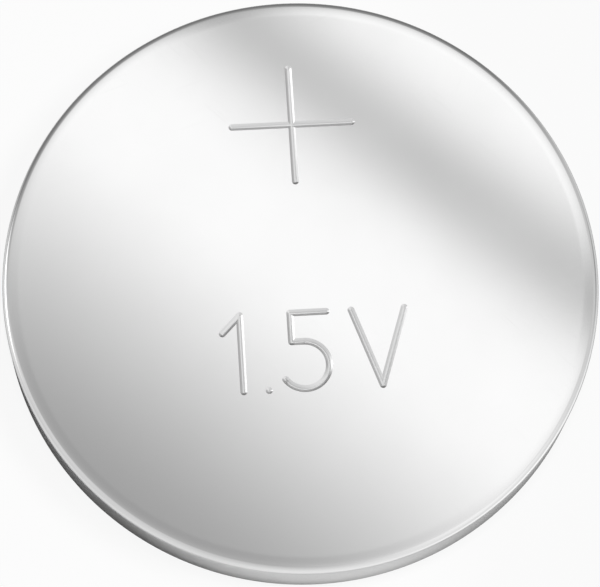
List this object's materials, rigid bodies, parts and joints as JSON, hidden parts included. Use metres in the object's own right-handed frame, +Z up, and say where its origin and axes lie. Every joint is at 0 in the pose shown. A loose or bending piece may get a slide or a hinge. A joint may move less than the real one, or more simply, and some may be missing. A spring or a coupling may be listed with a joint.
{
  "type": "lithium coin cell",
  "caption": "Flat round lithium coin cell: a drawn steel can with a rolled lip, a stepped cap, a sealing ring and pressed electrodes between them.",
  "frame": {"origin": "centre of the negative contact face, which is the middle of the cell's underside", "axes": "+Z up through the cell from the negative contact to the positive face, +Y towards the plus sign stamped in the positive face, +X to the right of the marks"},
  "size_m": [0.016, 0.016, 0.002],
  "materials": {
    "can_steel": "bright nickel-plated stainless steel with a fine satin grain",
    "gasket_polypropylene": "moulded polypropylene",
    "cap_steel": "satin stainless steel",
    "negative_powder": "pressed titanium oxide powder with carbon",
    "separator_felt": "polypropylene felt",
    "positive_powder": "pressed manganese oxide powder with carbon",
    "collector_steel": "thin stainless sheet"
  },
  "bodies": {
    "root": {"positive_can": "can_steel", "sealing_gasket": "gasket_polypropylene", "negative_cap": "cap_steel", "negative_pellet": "negative_powder", "separator": "separator_felt", "positive_pellet": "positive_powder", "positive_collector": "collector_steel"}
  },
  "joints": []
}
